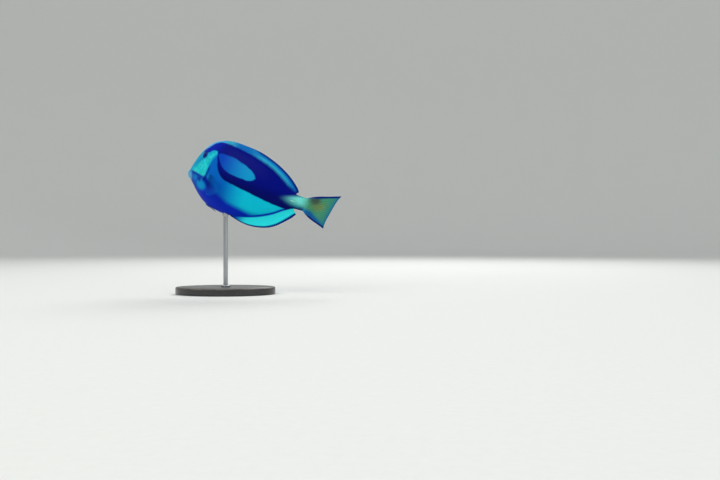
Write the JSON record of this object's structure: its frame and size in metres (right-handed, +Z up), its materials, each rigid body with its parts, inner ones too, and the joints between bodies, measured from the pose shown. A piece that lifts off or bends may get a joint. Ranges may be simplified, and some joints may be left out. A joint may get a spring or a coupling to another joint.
{
  "type": "regal blue tang display model",
  "caption": "Life-size still model of a regal blue tang, curved as it swims, nose up, held over an oval base by one rod under the belly.",
  "frame": {"origin": "centre of the underside of the stand's base, on the surface that the model stands on", "axes": "+Z up; +X towards the fish's tail; the fish's left flank and the viewer are on the -Y side"},
  "size_m": [0.1804, 0.078, 0.1676],
  "materials": {
    "skin": "satin painted skin, azure and cyan with a navy band and a yellow-green tail stalk",
    "fin": "satin painted fins with fine rays, turquoise to yellow-green",
    "eye": "wet gloss, near-black navy",
    "spine": "smooth pale bone",
    "stand_base": "satin black lacquer",
    "stand_rod": "brushed"
  },
  "bodies": {
    "root": {"head": "skin", "trunk": "skin", "tail_stalk": "skin", "gill_cover_left": "skin", "gill_cover_right": "skin", "upper_lip": "skin", "lower_lip": "skin", "dorsal_fin": "fin", "anal_fin": "fin", "caudal_fin": "fin", "pectoral_fin_left": "fin", "pectoral_fin_right": "fin", "pelvic_fin_left": "fin", "pelvic_fin_right": "fin", "eye_left": "eye", "eye_right": "eye", "tail_spine_left": "spine", "tail_spine_right": "spine", "stand_base": "stand_base", "stand_rod": "stand_rod"}
  },
  "joints": []
}
